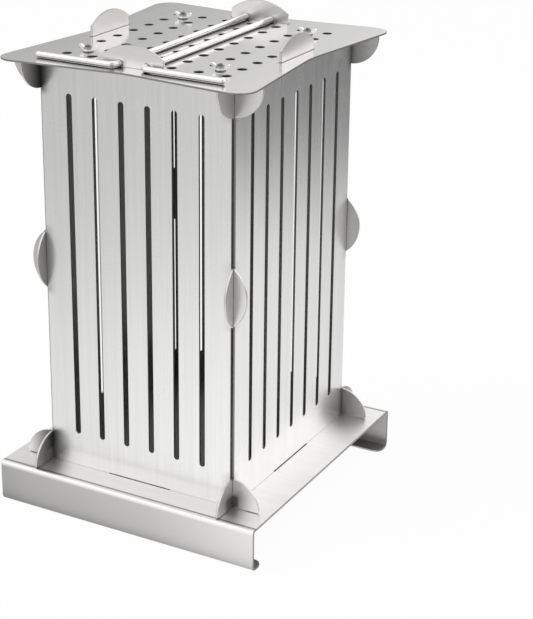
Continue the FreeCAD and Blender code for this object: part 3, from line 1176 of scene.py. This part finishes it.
@dataclass
class Studio:
    """A pale floor, soft lamps, a room of soft boxes that steel can mirror, and the camera.

    Azimuths run in degrees from +X towards +Y, and the camera stands at -62. The room's levels go by the
    height of a direction, and the table's by the distance towards the window and across that way.
    """

    floor_radius: float = 6.0
    floor_steps: int = 96
    floor_gap: float = 0.05 * MILLIMETRE
    floor_grey: Colour = (0.8, 0.8, 0.8)
    room_grey: Colour = (0.7, 0.7, 0.7)
    bare_share: float = 0.04
    toward_window: Pair = (0.49, 0.87)
    table_along: Levels = (
        (-1.6, 0.69), (-1.2, 0.72), (-0.9, 0.79), (-0.68, 0.91), (-0.45, 1.02), (0.0, 1.1), (0.1, 1.05),
        (0.22, 0.97), (0.35, 0.95), (0.7, 0.9), (0.95, 0.64), (1.06, 0.49), (1.2, 0.375), (1.33, 0.31),
        (1.47, 0.24),
    )
    table_across: Levels = ((-0.04, 0.9), (0.14, 1.1))
    near_azimuths: Band = (-98.0, -80.0, -40.0, -20.0)
    near_reach: Pair = (0.38, 0.56)
    near_shade: float = 0.5
    foot_reach: float = 0.04
    foot_shade: float = 0.3
    under_reach: float = 0.06
    under_shade: float = 0.7
    window_azimuths: Band = (0.0, 40.0, 78.0, 94.0)
    window: Levels = ((0.0, 1.1), (0.15, 1.38), (0.35, 1.72), (0.6, 1.72), (0.8, 1.35), (0.95, 1.2))
    fall_azimuths: Band = (98.0, 130.0, 138.0, 165.0)
    falling: Levels = (
        (0.17, 0.18), (0.2, 0.28), (0.23, 0.6), (0.26, 0.72), (0.33, 0.85), (0.45, 0.5), (0.6, 0.65),
        (0.85, 1.2),
    )
    front_azimuths: Band = (-165.0, -145.0, -100.0, -85.0)
    back_azimuths: Band = (92.0, 104.0, 150.0, 172.0)
    soft_box: Levels = (
        (0.0, 0.95), (0.18, 1.1), (0.35, 1.45), (0.55, 1.45), (0.62, 1.0), (0.68, 1.7), (0.78, 1.7),
        (0.88, 1.1), (0.95, 1.2),
    )
    plain: Levels = (
        (0.0, 0.95), (0.25, 0.98), (0.42, 0.95), (0.52, 1.35), (0.58, 1.35), (0.66, 0.92), (0.95, 1.2),
    )
    viewer_azimuths: Band = (-86.0, -77.0, -47.0, -38.0)
    viewer_heights: Band = (0.18, 0.3, 0.64, 0.76)
    viewer_shade: float = 0.8

    def build(self) -> None:
        """Makes the floor, the room, the lamps and the camera."""
        self.floor()
        self.room()
        self.lamp("key", place=(-1.6, -1.4, 2.2), size=1.6, power=36.0)
        self.lamp("fill", place=(1.9, 0.6, 1.6), size=1.2, power=8.0)
        self.camera()

    @staticmethod
    def band(number: Value, limits: Band) -> Value:
        """1 within a band, which begins, is full, starts to fade and ends at its limits."""
        rise, full, fade, end = limits
        return number.ramp(rise, full) * number.ramp(end, fade)

    def floor(self) -> None:
        """The floor: white to the camera, pale to the lamps, and the lit table top that steel mirrors."""
        shape = bmesh.new()
        bmesh.ops.create_circle(shape, cap_ends=True, segments=self.floor_steps, radius=self.floor_radius)
        made = add_object("studio_floor", to_mesh("studio_floor", shape))
        made.location.z = CAD_LOW.z - self.floor_gap
        material = bpy.data.materials.new("studio_floor_paint")
        graph = Graph(material)
        camera, mirrored = graph.rays()
        colour = graph.blend(camera, self.table_level(graph), (1, 1, 1, 1))
        paint = graph.node("BsdfDiffuse", {"Color": opaque(self.floor_grey)})
        glow = graph.node("Emission", {"Color": colour, "Strength": 1.0})
        share = mirrored + (1 - self.bare_share) * camera
        mixed = graph.node("MixShader", {0: share, 1: paint.outputs[0], 2: glow.outputs[0]})
        graph.finish(mixed.outputs[0])
        made.data.materials.append(material)

    def table_level(self, graph: Graph) -> Value:
        """How bright the table top is round the part, as steel mirrors it.

        Args:
            graph: The floor's graph.

        Returns:
            The level at the point being shaded.
        """
        x, y, _ = graph.xyz
        to_right, to_back = self.toward_window
        level = (x * to_right + y * to_back).levels(*self.table_along)
        level = level * (x * to_back - y * to_right).levels(*self.table_across)
        away = (x * x + y * y).root()
        near = self.band(graph.azimuth(x, y), self.near_azimuths) * away.ramp(*self.near_reach)
        foot, under = (abs(x).ramp(CAD_HIGH.x + outer, CAD_HIGH.x + inner)
                       * abs(y).ramp(CAD_HIGH.y + outer, CAD_HIGH.y + inner)
                       for outer, inner in ((self.foot_reach, 0.0), (0.0, -self.under_reach)))
        for shadow, shade in ((near, self.near_shade), (foot, self.foot_shade), (under, self.under_shade)):
            level = level * (1.0 - shade * shadow)
        return level

    def room(self) -> None:
        """The room: white to the camera, and to steel a window at the back right among soft boxes."""
        world = bpy.data.worlds.new("studio_room")
        bpy.context.scene.world = world
        graph = Graph(world)
        camera, mirrored = graph.rays()
        shown = graph.blend(mirrored, opaque(self.room_grey), self.room_level(graph))
        colour = graph.blend(camera, shown, (1, 1, 1, 1))
        background = graph.node("Background", {"Color": colour, "Strength": 1.0})
        graph.finish(background.outputs[0], "OutputWorld")

    def room_level(self, graph: Graph) -> Value:
        """How bright the room is in each direction, as steel mirrors it.

        Args:
            graph: The world's graph.

        Returns:
            The level.
        """
        x, y, z = graph.parts(graph.node("TexCoord", {}).outputs["Generated"])
        angle = graph.azimuth(x, y)
        window, falling, soft_box, plain = (
            z.levels(*stops) for stops in (self.window, self.falling, self.soft_box, self.plain)
        )
        in_box = self.band(angle, self.front_azimuths) + self.band(angle, self.back_azimuths)
        level = plain + (soft_box - plain) * in_box
        level = level + (window - plain) * self.band(angle, self.window_azimuths)
        level = level + (falling - soft_box) * self.band(angle, self.fall_azimuths)
        viewer = self.band(angle, self.viewer_azimuths) * self.band(z, self.viewer_heights)
        return level * (1.0 - self.viewer_shade * viewer)

    def lamp(self, name: str, place: Place, size: float, power: float) -> None:
        """A square soft lamp that looks at the middle of the part. Steel mirrors the room in its place.

        Args:
            name: The lamp's name.
            place: Where it stands.
            size: The length of its side.
            power: Its power in watts.
        """
        light = bpy.data.lights.new(name, "AREA")
        light.size = size
        light.energy = power
        made = add_object(name, light)
        made.visible_glossy = False
        made.location = place
        aim = (CAD_LOW + CAD_HIGH) / 2 - made.location
        made.rotation_euler = aim.to_track_quat("-Z", "Y").to_euler()

    def camera(self) -> None:
        """The camera, which looks down on the box from the front right."""
        focal_pixels = 1666
        place = (0.7002, -1.1822, 0.7192)
        yaw, pitch, roll = (math.radians(angle) for angle in (28.25, 19.55, 0.69))
        lens = bpy.data.cameras.new("camera")
        lens.sensor_width = 36
        lens.lens = focal_pixels * lens.sensor_width / IMAGE_HEIGHT
        lens.shift_y = -0.12
        made = add_object("camera", lens)
        aim = Matrix.Rotation(yaw, 4, "Z") @ Matrix.Rotation(math.pi / 2 - pitch, 4, "X")
        made.matrix_world = Matrix.Translation(place) @ aim @ Matrix.Rotation(roll, 4, "Z")
        bpy.context.scene.camera = made


def main() -> None:
    """Builds the sub-assemblies in order."""
    logging.basicConfig(level=logging.INFO, format="%(name)s: %(message)s")
    bpy.context.scene.view_settings.view_transform = "Standard"
    SheetMetal().build()
    low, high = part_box("left_rod_shank")
    rod_steel = PolishedSteel(
        "rod_steel", tone=(0.8, 0.795, 0.785), roughness=0.15, relief_size=3 * MILLIMETRE,
        relief_depth=0.001 * MILLIMETRE, middle=(low.z + high.z) / 2, radius=(high.z - low.z) / 2,
    ).build()
    for side in Side:
        LockingRod(side, rod_steel).build()
    low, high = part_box(f"{CORNERS[-1]}_wing_nut")
    nut_steel = PolishedSteel(
        "nut_steel", tone=(0.95, 0.95, 0.94), roughness=0.42, relief_depth=0.02 * MILLIMETRE,
        boss=tuple((low + high) / 2)[:2], boss_reach=(high.y - low.y) / 2,
    ).build()
    # The washers' near-black tone is painted shade round the nuts' feet.
    washer_steel = PolishedSteel("washer_steel", tone=(0.2, 0.2, 0.2), roughness=0.3).build()
    Fasteners(nut_steel, washer_steel).build()
    Studio().build()


if __name__ == "__main__":
    main()
